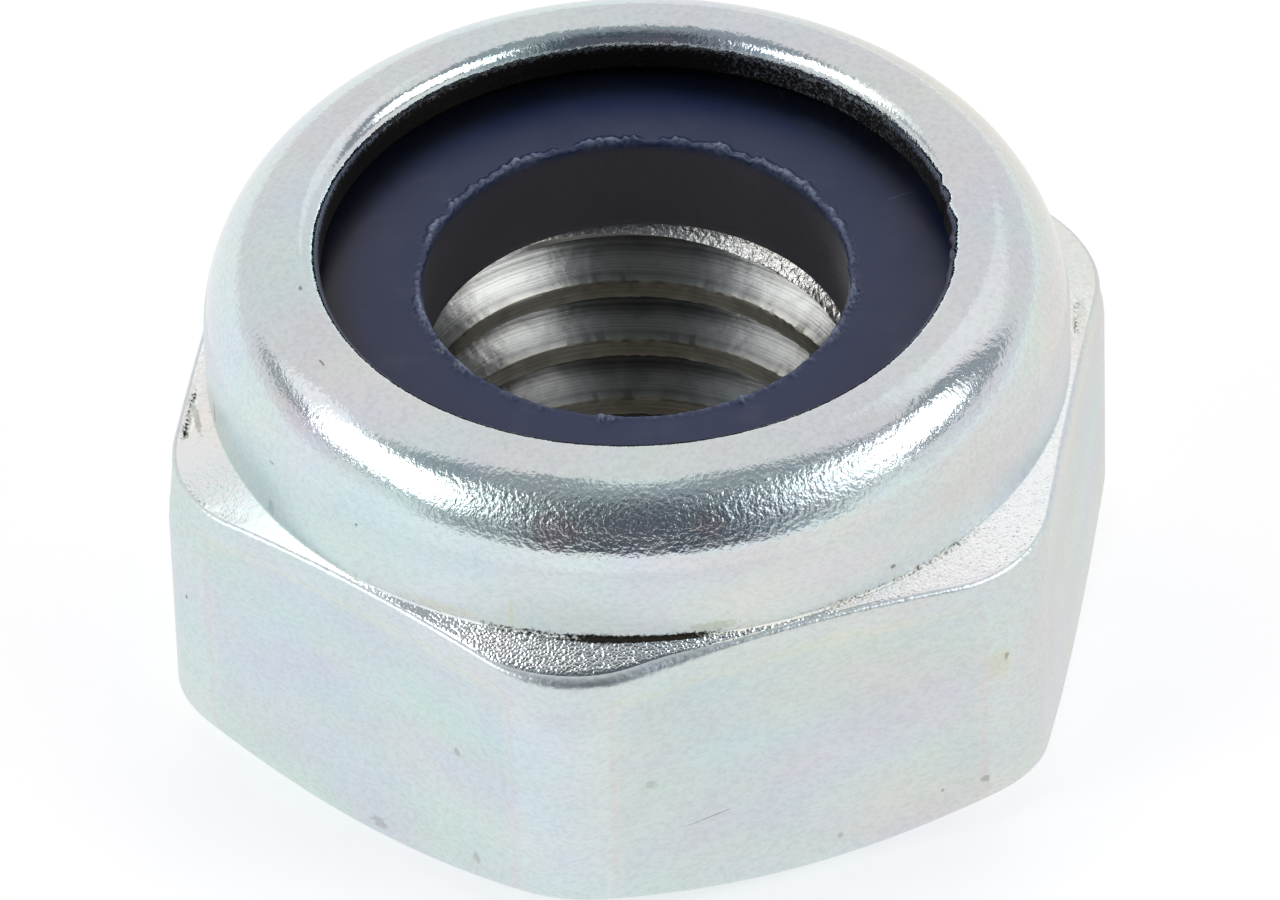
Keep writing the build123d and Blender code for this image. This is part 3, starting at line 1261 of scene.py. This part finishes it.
@dataclass(frozen=True)
class ZincPlate:
    """Zinc plated steel: a pale metal with a fine grain and faint pastel tints.

    Attributes:
        name: The material's name.
        colour: Base colour of the metal.
        roughness: Its roughness where the rolling tool burnished it.
        satin: Its roughness elsewhere.
        tint: Strength of the tints.
        grain_size: Width of the fine grain in millimetres.
        grain_depth: Depth of the fine grain in millimetres.
        grit: What kind of coarse surface lies on it.
        grit_size: Width of the grit in millimetres.
        grit_depth: Depth of the grit in millimetres, where the kept "grit" is 1.
        lean: How far the grains lean out from the axis, as a slope, where the kept "lean" is 1.
        panelled: True where the die pressed a panel in each flat.
        marks: Stains, specks and scratches, and on the ledge patches of painted light and shade.
    """

    name: str
    colour: tuple[float, float, float] = (0.71, 0.79, 0.805)
    roughness: float = 0.05
    satin: float = 0.36
    tint: float = 0.09
    grain_size: float = 0.12
    grain_depth: float = 0.014
    grit: Grit = Grit.NONE
    grit_size: float = 0.1
    grit_depth: float = 0.03
    lean: float = 0.0
    panelled: bool = False
    marks: tuple[Mark, ...] = ()

    def build(self) -> bpy.types.Material:
        """Lays out the finish's nodes.

        Returns:
            The material.
        """
        material, bench = new_material(self.name)
        places = bench.places()
        flat_places = bench.stretched(places, (1.0, 1.0, 1.8))
        colour = self.clouded(bench, flat_places)
        flecks = bench.noise(flat_places, 0.13, detail=2.0, rough=0.7)
        colour = bench.blend(1.0, colour, bench.between(flecks, 0.3, 0.62, 0.937, 1.035), kind="MULTIPLY")
        if self.panelled:
            colour = self.pressed_panels(bench, places, colour)
        colour = bench.marked(places, colour, self.marks)
        roughness = self.satin
        normal = None
        if self.lean:
            normal = bench.leaning(places, bench.sum("MULTIPLY", bench.kept("lean"), self.lean))
        if self.grit != Grit.NONE:
            crumbs = bench.noise(places, 0.07, detail=2.0, rough=0.6)
            # painted shade from the kept numbers, broken up by crumbly noise that also darkens a little at
            # random; the surface is rougher under it
            crumbs = bench.sum("ADD", bench.kept("painted_shade"), bench.between(crumbs, 0.3, 0.7, -0.28, 0.28))
            painted_shade = bench.between(crumbs, 0.2, 0.8)
            colour = bench.blend(painted_shade, colour, SHADE_TONE)
            roughness = bench.between(bench.kept("grit"), 0.0, 0.1, self.satin, self.roughness)
            roughness = bench.sum("ADD", roughness, bench.sum("MULTIPLY", painted_shade, 0.4))
            normal = bench.relief(self.coarse(bench, places), self.grit_depth, below=normal)
        grain = bench.noise(places, self.grain_size, detail=2.0, rough=0.6)
        normal = bench.relief(grain, self.grain_depth, below=normal)
        inputs = {"Base Color": colour, "Metallic": 1.0, "Roughness": roughness, "Normal": normal}
        bench.finish_with(bench.add("ShaderNodeBsdfPrincipled", inputs).outputs[0])
        return material

    def coarse(self, bench: NodeBench, places: bpy.types.NodeSocket) -> bpy.types.NodeSocket:
        """Makes the coarse grit: irregular where it was rolled, packed grains where it was forged.

        Args:
            bench: The bench of the material's nodes.
            places: Places on the object, in metres.

        Returns:
            The grit's height.
        """
        if self.grit == Grit.ROLLED:
            bumps = bench.noise(places, self.grit_size, detail=3.0, rough=0.55)
        else:
            bumps = bench.cells(places, self.grit_size)
        return bench.sum("MULTIPLY", bumps, bench.kept("grit"))

    def clouded(self, bench: NodeBench, places: bpy.types.NodeSocket) -> bpy.types.NodeSocket:
        """Lays pastel clouds over the metal's colour, wide ones and narrow ones.

        Args:
            bench: The bench of the material's nodes.
            places: Places on the object, in metres.

        Returns:
            The clouded colour.
        """
        colour = self.colour
        for size, share in ((3.2, 1.0), (0.7, 0.3)):
            clouds = bench.noise(places, size, detail=3.0, colour=True)
            away = bench.vector("SUBTRACT", clouds, (0.5, 0.5, 0.5))
            colour = bench.vector("MULTIPLY_ADD", away, (2 * self.tint * share,) * 3, colour)
        return colour

    def pressed_panels(self, bench: NodeBench, places: Feed, colour: Feed) -> bpy.types.NodeSocket:
        """Tints the faint panel that the die pressed in each flat, and the pale bands beside it: the band
        along its upper edge is a painted highlight.

        Args:
            bench: The bench of the material's nodes.
            places: Places on the object, in metres.
            colour: The colour without the panels.

        Returns:
            The tinted colour.
        """
        wander = bench.sum("SUBTRACT", bench.noise(places, 0.5, detail=3.0), 0.5)
        wander = bench.sum("MULTIPLY", wander, 0.35)
        below = bench.sum("ADD", bench.kept("below_ledge"), wander)
        beside = bench.sum("ADD", bench.kept("off_corner"), wander)
        panel = bench.sum("MULTIPLY", bench.between(below, 0.6, 0.8), bench.between(beside, 1.2, 1.35))
        band = bench.sum("MULTIPLY", bench.ridge(below, 0.58, 0.2), bench.between(beside, 1.1, 1.3))
        seam = bench.sum("MULTIPLY", bench.ridge(beside, 1.15, 0.16), bench.between(below, 0.2, 0.7))
        colour = bench.tinted(panel, colour, (0.955, 0.965, 0.975))
        # painted highlight: a pale yellowish band along the panel's upper edge
        colour = bench.tinted(band, colour, (1.02, 1.0, 0.95))
        return bench.tinted(seam, colour, (1.0, 0.95, 0.95))


@dataclass(frozen=True)
class CutThread:
    """Plated steel cut by a tap, with the tool's fine lines along the thread.

    Attributes:
        name: The material's name.
        colour: Base colour of the metal.
        roughness: Its roughness.
        brushed: How much smoother it is along the thread than across it.
        lean: How far the worn flanks lean in towards the axis, as a negative slope.
        line_width: Distance between the tool's lines in millimetres.
        line_depth: Depth of those lines in millimetres.
    """

    name: str = "cut_thread"
    colour: tuple[float, float, float, float] = (0.6, 0.61, 0.59, 1.0)
    roughness: float = 0.3
    brushed: float = 0.85
    lean: float = -0.35
    line_width: float = 0.07
    line_depth: float = 0.005

    def build(self) -> bpy.types.Material:
        """Lays out the finish's nodes.

        Returns:
            The material.
        """
        material, bench = new_material(self.name)
        places = bench.places()
        wander = bench.sum("MULTIPLY", bench.noise(places, 0.8, detail=2.0), 0.06)
        across = bench.sum("ADD", bench.kept("across"), wander)
        lines = bench.lines(across, self.line_width)
        streaks = bench.lines(bench.sum("ADD", across, 7.0), 4 * self.line_width)
        stains = bench.noise(places, 0.5, detail=3.0)
        colour = bench.blend(1.0, self.colour, bench.between(lines, 0.35, 0.6, 0.8, 1.0), kind="MULTIPLY")
        colour = bench.blend(1.0, colour, bench.between(streaks, 0.36, 0.56, 0.74, 1.0), kind="MULTIPLY")
        colour = bench.blend(1.0, colour, bench.between(stains, 0.34, 0.55, 0.82, 1.0), kind="MULTIPLY")
        colour = bench.tinted(bench.between(across, 0.23, 0.17), colour, (0.7, 0.66, 0.57))
        colour = bench.tinted(bench.ridge(across, 0.25, 0.05), colour, (1.0, 0.95, 0.84))
        # painted shade on the flanks at one side of the bore
        colour = bench.tinted(bench.kept("painted_flank_shade"), colour, (0.6, 0.58, 0.53))
        colour = bench.blend(bench.sum("MULTIPLY", bench.kept("torn"), 0.9), colour, (1.0, 1.0, 0.96, 1.0))
        leant = bench.leaning(places, bench.sum("MULTIPLY", bench.kept("worn"), self.lean))
        normal = bench.relief(bench.noise(places, 0.25, detail=2.0), 0.006, below=leant)
        normal = bench.relief(lines, self.line_depth, below=normal)
        torn = bench.sum("MULTIPLY", bench.noise(places, 0.12, detail=3.0), bench.kept("torn"))
        normal = bench.relief(torn, 0.055, below=normal)
        inputs = {
            "Base Color": colour,
            "Metallic": 1.0,
            "Roughness": bench.between(bench.kept("torn"), 0.0, 1.0, self.roughness, 0.32),
            "Anisotropic": self.brushed,
            "Anisotropic Rotation": 0.25,
            "Tangent": bench.add("ShaderNodeTangent", direction_type="RADIAL", axis="Z").outputs[0],
            "Normal": normal,
        }
        bench.finish_with(bench.add("ShaderNodeBsdfPrincipled", inputs).outputs[0])
        return material


@dataclass(frozen=True)
class BlueNylon:
    """Dark blue nylon with a soft gloss, gone pale where its edge is frayed.

    Attributes:
        name: The material's name.
        colour: Base colour.
        frayed: Colour of the torn fibres.
        roughness: Roughness of the moulded faces.
        marks: Pale specks and scratches.
    """

    name: str = "blue_nylon"
    colour: tuple[float, float, float, float] = (0.014, 0.027, 0.082, 1.0)
    frayed: tuple[float, float, float, float] = (0.27, 0.32, 0.45, 1.0)
    roughness: float = 0.3
    marks: tuple[Mark, ...] = ()

    def build(self) -> bpy.types.Material:
        """Lays out the finish's nodes.

        Returns:
            The material.
        """
        material, bench = new_material(self.name)
        places = bench.places()
        fibres = bench.noise(places, 0.09, detail=2.0, rough=0.6)
        fray = bench.sum("MULTIPLY", bench.kept("fray"), bench.between(fibres, 0.36, 0.6, 0.25, 1.0))
        haze = bench.noise(places, 0.9, detail=3.0)
        haze = bench.between(haze, 0.56, 0.8, 0.0, 0.3)
        colour = bench.blend(haze, self.colour, (0.06, 0.075, 0.12, 1.0))
        colour = bench.marked(places, colour, self.marks)
        # a neutral dark grey on the bore's wall, instead of blue
        colour = bench.blend(bench.kept("grey_bore"), colour, (0.066, 0.062, 0.075, 1.0))
        colour = bench.blend(fray, colour, self.frayed)
        colour = bench.blend(bench.kept("shade"), colour, (0.004, 0.005, 0.008, 1.0))
        waves = bench.noise(places, 1.6, detail=2.0)
        roughness = bench.between(waves, 0.3, 0.7, self.roughness - 0.05, self.roughness + 0.08)
        normal = bench.relief(waves, 0.006)
        inputs = {"Base Color": colour, "Roughness": roughness, "IOR": 1.46, "Normal": normal}
        bench.finish_with(bench.add("ShaderNodeBsdfPrincipled", inputs).outputs[0])
        return material


@dataclass(frozen=True)
class Softbox:
    """A plain rectangular lamp aimed at the nut.

    Attributes:
        name: The lamp's name.
        azimuth: Degrees to the right of the camera, seen from above the nut.
        elevation: Degrees above the floor.
        width: Width in metres.
        tall: Height in metres.
        power: Power in watts.
        distance: How far it stands from the nut, in metres.
    """

    name: str
    azimuth: float
    elevation: float
    width: float
    tall: float
    power: float
    distance: float = 0.5

    def hang(self, camera_azimuth: float) -> None:
        """Places the lamp, turned towards the nut.

        Args:
            camera_azimuth: Where the camera stands, in degrees round Z from +X.
        """
        light = bpy.data.lights.new(self.name, "AREA")
        light.shape = "RECTANGLE"
        light.size = self.width
        light.size_y = self.tall
        light.energy = self.power
        lamp = bpy.data.objects.new(self.name, light)
        bpy.context.scene.collection.objects.link(lamp)
        towards = direction(camera_azimuth + self.azimuth, self.elevation)
        lamp.location = towards * self.distance
        lamp.rotation_euler = towards.to_track_quat("Z", "Y").to_euler()
        lamp.visible_camera = False


@dataclass(frozen=True)
class Panel:
    """A plain panel hung in the tent, seen only in the nut's reflections. Degrees from the nut.

    Attributes:
        azimuth: Middle, to the right of the camera.
        half_width: Half its width.
        elevation: Middle, above the floor.
        half_height: Half its height.
        tone: Its colour.
    """

    azimuth: float
    half_width: float
    elevation: float
    half_height: float
    tone: tuple[float, float, float, float]


def direction(azimuth: float, elevation: float) -> Vector:
    """The direction at an azimuth round Z and an elevation over the floor, both in degrees."""
    turn, rise = math.radians(azimuth), math.radians(elevation)
    return Vector((math.cos(rise) * math.cos(turn), math.cos(rise) * math.sin(turn), math.sin(rise)))


@dataclass(frozen=True)
class Studio:
    """A pale floor in a white tent with two softboxes, and the camera.

    Attributes:
        turn: Degrees that the camera stands round from -Y, towards -X where negative.
        elevation: Degrees that the camera looks down.
        roll: Degrees that the camera is tilted.
        distance: How far the camera is from the point it looks at, in metres.
        lens: Focal length in millimetres, on a 36 mm sensor.
        aim: The point on the axis that the camera looks at, in metres.
        drop: How far the aim is moved down in the picture, in metres.
        under_bore: Radius of the disc of floor under the bore, in millimetres.
        under_flats: Radius where the floor goes on; between the two, it is left out under the nut.
        shaded: Radius where the nut's shade on the floor starts to fade, in millimetres.
        floor_gap: How far the floor lies under the bearing face, in millimetres.
        softboxes: The lamps.
        panels: The dark frames of the lamps, and their glow.
    """

    turn: float = -19.45
    elevation: float = 40.3724
    roll: float = -1.8463
    distance: float = 0.28
    lens: float = 407.2
    aim: float = 0.005
    drop: float = 0.000712
    under_bore: float = 5.4
    under_flats: float = 7.8
    shaded: float = 6.2
    floor_gap: float = 0.01
    softboxes: tuple[Softbox, ...] = (
        Softbox("softbox_left", azimuth=-71.0, elevation=32.0, width=0.38, tall=0.2, power=0.5),
        Softbox("softbox_right", azimuth=71.0, elevation=36.0, width=0.38, tall=0.2, power=0.5),
    )
    panels: tuple[Panel, ...] = (
        Panel(-69.0, 25.0, 33.0, 17.0, DIM_FRAME),
        Panel(-106.0, 13.0, 20.0, 4.0, DIM_FRAME),
        Panel(-89.0, 26.0, 35.0, 11.0, LAMP_GLOW),
        Panel(78.0, 38.0, 34.0, 17.0, DIM_FRAME),
        Panel(82.0, 20.0, 34.0, 9.0, LAMP_GLOW),
        Panel(140.0, 18.0, 44.0, 15.0, SIDE_GLOW),
    )

    def build(self) -> None:
        """Sets up the tent, the lamps, the floor and the camera."""
        self.light_tent()
        for softbox in self.softboxes:
            softbox.hang(self.turn - 90.0)
        self.lay_floor()
        self.set_camera()
        settings = bpy.context.scene.view_settings
        settings.view_transform = "Standard"

    def light_tent(self) -> None:
        """A white tent all round, darker above the camera where the room shows through its opening."""
        world = bpy.data.worlds.new("tent")
        bpy.context.scene.world = world
        world.use_nodes = True
        bench = NodeBench(world.node_tree)
        towards = bench.add("ShaderNodeTexCoord").outputs["Generated"]
        parts = bench.add("ShaderNodeSeparateXYZ", {0: towards}).outputs
        flat = bench.add("ShaderNodeCombineXYZ", {0: parts["X"], 1: parts["Y"]}).outputs[0]
        flat = bench.vector("NORMALIZE", flat)
        facing = bench.vector("DOT_PRODUCT", flat, tuple(direction(self.turn - 90.0, 0.0)))
        sideways = bench.vector("DOT_PRODUCT", flat, tuple(direction(self.turn, 0.0)))
        turn = bench.sum("DEGREES", bench.sum("ARCTAN2", sideways, facing))
        rise = bench.sum("DEGREES", bench.sum("ARCSINE", parts["Z"]))
        tone = self.tent_tone(bench, towards, facing, rise)
        for panel in self.panels:
            across = bench.plateau(turn, panel.azimuth, panel.half_width)
            upright = bench.plateau(rise, panel.elevation, panel.half_height)
            tone = bench.blend(bench.sum("MULTIPLY", across, upright), tone, panel.tone)
        tent = bench.blend(bench.between(rise, 1.0, 6.0), TENT_FOOT, tone)
        seen = bench.add("ShaderNodeLightPath").outputs["Is Camera Ray"]
        inputs = {"Color": bench.blend(seen, tent, WHITE), "Strength": 1.0}
        glow = bench.add("ShaderNodeBackground", inputs).outputs[0]
        bench.finish_with(glow, kind="ShaderNodeOutputWorld")

    def tent_tone(self, bench: NodeBench, towards: Feed, facing: Feed, rise: Feed) -> bpy.types.NodeSocket:
        """Colours the tent's wall and its opening.

        Args:
            bench: The bench of the world's nodes.
            towards: The direction looked in.
            facing: 1 towards the camera and -1 away from it, seen from above.
            rise: Degrees above the floor.

        Returns:
            The colour in each direction.
        """
        behind = bench.between(facing, -0.2, 0.3)
        widening = bench.between(rise, 44.0, 54.0, 0.0, 0.6)
        haze = bench.between(bench.sum("ADD", facing, widening), 0.48, 0.72)
        haze = bench.sum("MULTIPLY", haze, bench.between(rise, 86.0, 79.0))
        core = bench.between(facing, math.cos(math.radians(38)), math.cos(math.radians(20)))
        core = bench.sum("MULTIPLY", core, bench.between(rise, 74.0, 44.0))
        clutter = bench.add("ShaderNodeTexNoise", {"Vector": towards, "Scale": 7.0, "Detail": 4.0})
        clutter = bench.between(clutter.outputs["Fac"], 0.43, 0.56)
        room = bench.blend(clutter, ROOM_DARK, ROOM_DIM)
        wall = bench.blend(behind, TENT_BEHIND, TENT_FRONT)
        return bench.blend(core, bench.blend(haze, wall, TENT_HAZE), room)

    def lay_floor(self) -> None:
        """A plain pale floor that keeps the nut's soft shadow, but doesn't hide the nut from below."""
        bpy.ops.object.select_all(action="DESELECT")
        bpy.ops.mesh.primitive_circle_add(vertices=96, radius=self.under_bore * MM, fill_type="NGON")
        floor = bpy.context.object
        floor.name = "floor"
        bpy.ops.object.mode_set(mode="EDIT")
        bpy.ops.mesh.primitive_circle_add(vertices=96, radius=self.under_flats * MM)
        bpy.ops.mesh.extrude_region_move()
        bpy.ops.transform.resize(value=(FLOOR_SPREAD, FLOOR_SPREAD, 1.0))
        bpy.ops.object.mode_set(mode="OBJECT")
        floor.location.z = -self.floor_gap * MM
        for face in floor.data.polygons:
            if face.normal.z < 0:
                face.flip()
        floor.data.materials.append(self.floor_finish())

    def floor_finish(self) -> bpy.types.Material:
        """Lays out the floor's nodes: matt and pale, bright in the nut's mirror, clear from below.

        Returns:
            The material.
        """
        material, bench = new_material("pale_floor")
        material.use_transparent_shadow = False
        rays = bench.add("ShaderNodeLightPath").outputs
        diffuse = bench.add("ShaderNodeBsdfDiffuse", {"Color": FLOOR_GREY}).outputs[0]
        glow = bench.sum("MULTIPLY", rays["Is Camera Ray"], FLOOR_LIFT)
        light = bench.add("ShaderNodeEmission", {"Color": WHITE, "Strength": glow}).outputs[0]
        plain = bench.add("ShaderNodeAddShader", {0: diffuse, 1: light}).outputs[0]
        sideways = bench.vector("DOT_PRODUCT", bench.places(), tuple(direction(self.turn, 0.0)))
        sideways = bench.between(sideways, -12.0 * MM, 22.0 * MM)
        hue = bench.blend(sideways, FLOOR_COOL, FLOOR_WARM)
        bright = bench.add("ShaderNodeEmission", {"Color": hue, "Strength": 1.0}).outputs[0]
        around = bench.vector("LENGTH", bench.places())
        open_floor = bench.between(around, self.shaded * MM, self.under_flats * MM, FLOOR_SHADED, 1.0)
        mirrored = bench.sum("MULTIPLY", rays["Is Glossy Ray"], FLOOR_MIRRORED)
        mirrored = bench.sum("MULTIPLY", mirrored, open_floor)
        above = bench.add("ShaderNodeMixShader", {0: mirrored, 1: plain, 2: bright}).outputs[0]
        from_below = bench.add("ShaderNodeNewGeometry").outputs["Backfacing"]
        clear = bench.add("ShaderNodeBsdfTransparent").outputs[0]
        bench.finish_with(bench.add("ShaderNodeMixShader", {0: from_below, 1: above, 2: clear}).outputs[0])
        return material

    def set_camera(self) -> None:
        """Stands the camera so that the nut fills the picture, seen from above its front."""
        lens = bpy.data.cameras.new("camera")
        lens.lens = self.lens
        lens.sensor_width = 36.0
        lens.clip_start = 0.01
        camera = bpy.data.objects.new("camera", lens)
        bpy.context.scene.collection.objects.link(camera)
        turned = (
            Matrix.Rotation(math.radians(self.turn), 4, "Z")
            @ Matrix.Rotation(math.radians(90.0 - self.elevation), 4, "X")
            @ Matrix.Rotation(math.radians(self.roll), 4, "Z")
        )
        up = turned @ Vector((0, 1, 0))
        back = turned @ Vector((0, 0, 1))
        place = Vector((0, 0, self.aim)) - up * self.drop + back * self.distance
        camera.matrix_world = Matrix.Translation(place) @ turned
        bpy.context.scene.camera = camera


# What the surface's colour is multiplied by under a mark
GREY = (0.42, 0.42, 0.42)
YELLOW = (1.0, 0.97, 0.84)
PINK = (0.98, 0.88, 0.88)
PALE = (5.0, 3.6, 2.2)

# Specks, stains and scratches, from the flats up to the ledge, with patches of painted light and shade on
# the ledge, and the dents in its edge
FLAT_MARKS = (
    Mark(-63.4, 9.48, 4.23, (0.3, 0.05, 0.11), (0.62, 0.58, 0.56), tilt=-15.0),
    Mark(-64.2, 9.43, 4.1, (0.4, 0.28, 0.4), YELLOW),
    Mark(-66.0, 9.3, 1.28, (0.3, 0.09, 0.1), (0.65, 0.69, 0.67)),
    Mark(-71.2, 8.98, 1.28, (0.2, 0.035, 0.04), (0.62, 0.62, 0.62)),
    Mark(-109.5, 9.02, 3.42, (0.3, 0.13, 0.12), (0.86, 0.82, 0.79)),
    Mark(-102.3, 8.7, 2.2, (0.3, 0.5, 0.02), (0.72, 0.66, 0.66), tilt=9.0),
    Mark(-84.7, 8.54, 0.84, (0.3, 0.06, 0.09), (0.72, 0.77, 0.77)),
    Mark(-147.5, 8.51, 0.6, (0.3, 0.22, 0.14), (0.79, 0.76, 0.76)),
    Mark(-131.7, 8.95, 1.04, (0.3, 0.09, 0.15), (0.84, 0.78, 0.75)),
    Mark(-134.0, 8.84, 3.52, (0.3, 0.09, 0.1), (0.75, 0.76, 0.7)),
    Mark(-177.5, 9.51, 3.77, (0.3, 0.04, 0.05), GREY),
)
ROLLED_MARKS = (
    Mark(-75.3, 8.34, 6.84, (0.2, 0.06, 0.06), GREY),
    Mark(-150.2, 8.31, 7.8, (0.2, 0.04, 0.035), GREY),
    Mark(-167.0, 8.31, 7.83, (0.2, 0.09, 0.02), GREY),
    Mark(-167.5, 8.34, 6.68, (0.2, 0.12, 0.22), (0.78, 0.82, 0.78)),
    Mark(173.3, 6.55, 9.61, (0.04, 0.09, 0.2), GREY),
    Mark(-168.5, 6.99, 9.55, (0.03, 0.1, 0.2), GREY),
    Mark(-137.3, 8.34, 6.62, (0.2, 0.9, 0.14), YELLOW),
    Mark(-127.3, 8.34, 6.9, (0.2, 0.06, 0.4), YELLOW),
    Mark(-124.5, 8.34, 6.95, (0.2, 0.04, 0.5), (0.95, 0.97, 1.0)),
    Mark(-101.0, 8.34, 6.68, (0.2, 0.5, 0.12), (0.84, 0.84, 0.76)),
    Mark(-121.5, 7.96, 8.78, (0.5, 0.55, 0.35), PINK),
    Mark(-100.5, 7.92, 8.84, (0.5, 0.35, 0.3), PINK),
    Mark(172.9, 8.34, 6.9, (0.15, 0.07, 0.3), (0.5, 0.56, 0.46)),
)
NYLON_MARKS = (
    Mark(124.8, 4.36, 8.4, (0.03, 0.04, 0.2), PALE),
    Mark(37.0, 4.4, 8.4, (0.03, 0.03, 0.2), PALE),
    Mark(4.0, 5.7, 8.4, (0.34, 0.02, 0.2), PALE),
    Mark(29.0, 5.78, 8.4, (0.13, 0.8, 0.2), (2.2, 2.0, 1.6)),
    Mark(-1.0, 4.1, 7.75, (0.1, 0.22, 0.5), (2.6, 2.5, 2.1)),
)
LEDGE_MARKS_AND_PAINTED_LIGHT = (
    # painted light: brightens the ledge round the corner on -X
    Mark(-172.0, 8.9, 6.3, (1.2, 2.6, 0.8), (0.98, 1.1, 1.1)),
    # darkens the ledge round the corner on +X
    Mark(2.0, 9.0, 6.3, (2.0, 3.0, 1.2), (0.84, 0.875, 0.9)),
    # painted shade along the crack by the corner on -X
    Mark(169.5, 8.62, 6.35, (0.07, 0.5, 0.3), (0.62, 0.64, 0.6)),
)
NICKS = (
    Nick((171.6, 8.95, 6.28), (169.0, 8.78, 6.33), width=0.06, depth=0.12, bottom_shade=0.62),
    Nick((169.0, 8.8, 6.33), (163.8, 8.58, 6.38), width=0.045, depth=0.1, bottom_shade=0.55),
    Nick((-174.5, 9.15, 6.22), (-170.0, 8.78, 6.32), width=0.045, depth=0.03, bottom_shade=0.35),
    Nick((-11.0, 8.62, 6.36), (-17.0, 8.46, 6.41), width=0.06, depth=0.05, bottom_shade=0.42),
)


def report(piece: bpy.types.Object) -> None:
    """Logs how many faces a piece has, and how many of its edges are open."""
    log.info("%s: %d faces, %d open edges", piece.name, len(piece.data.polygons), count_open_edges(piece))


def main() -> None:
    """Builds each piece and its finish in order, then the studio."""
    logging.basicConfig(level=logging.INFO, format="%(name)s: %(message)s")
    bpy.ops.object.select_all(action="DESELECT")
    thread = Thread(bottom=0.0, top=SEAT_HEIGHT)
    finishes = [
        ZincPlate("plated_steel", panelled=True, marks=FLAT_MARKS).build(),
        ZincPlate(
            "rolled_collar", grain_depth=0.005, grit=Grit.ROLLED, grit_depth=0.027, marks=ROLLED_MARKS
        ).build(),
        ZincPlate(
            "forged_ledge",
            colour=(0.93, 1.0, 0.97),
            grain_depth=0.006,
            grit=Grit.FORGED,
            grit_size=0.06,
            grit_depth=0.021,
            lean=0.5,
            marks=LEDGE_MARKS_AND_PAINTED_LIGHT,
        ).build(),
        CutThread().build(),
    ]
    body = SteelBody(Hexagon(across_flats=17.0), thread, height=9.61, finishes=finishes, nicks=NICKS)
    steel = body.build()
    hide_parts("nut_body")
    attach(steel, "root")
    report(steel)
    ring = LockingRing(bore_radius=thread.minor_radius - RING_GRIP).build()
    ring.data.materials.append(BlueNylon(marks=NYLON_MARKS).build())
    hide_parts("nylon_ring")
    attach(ring, "root")
    report(ring)
    studio = Studio()
    studio.build()
    log.info("studio: %d softboxes, %d panels", len(studio.softboxes), len(studio.panels))


if __name__ == "__main__":
    main()
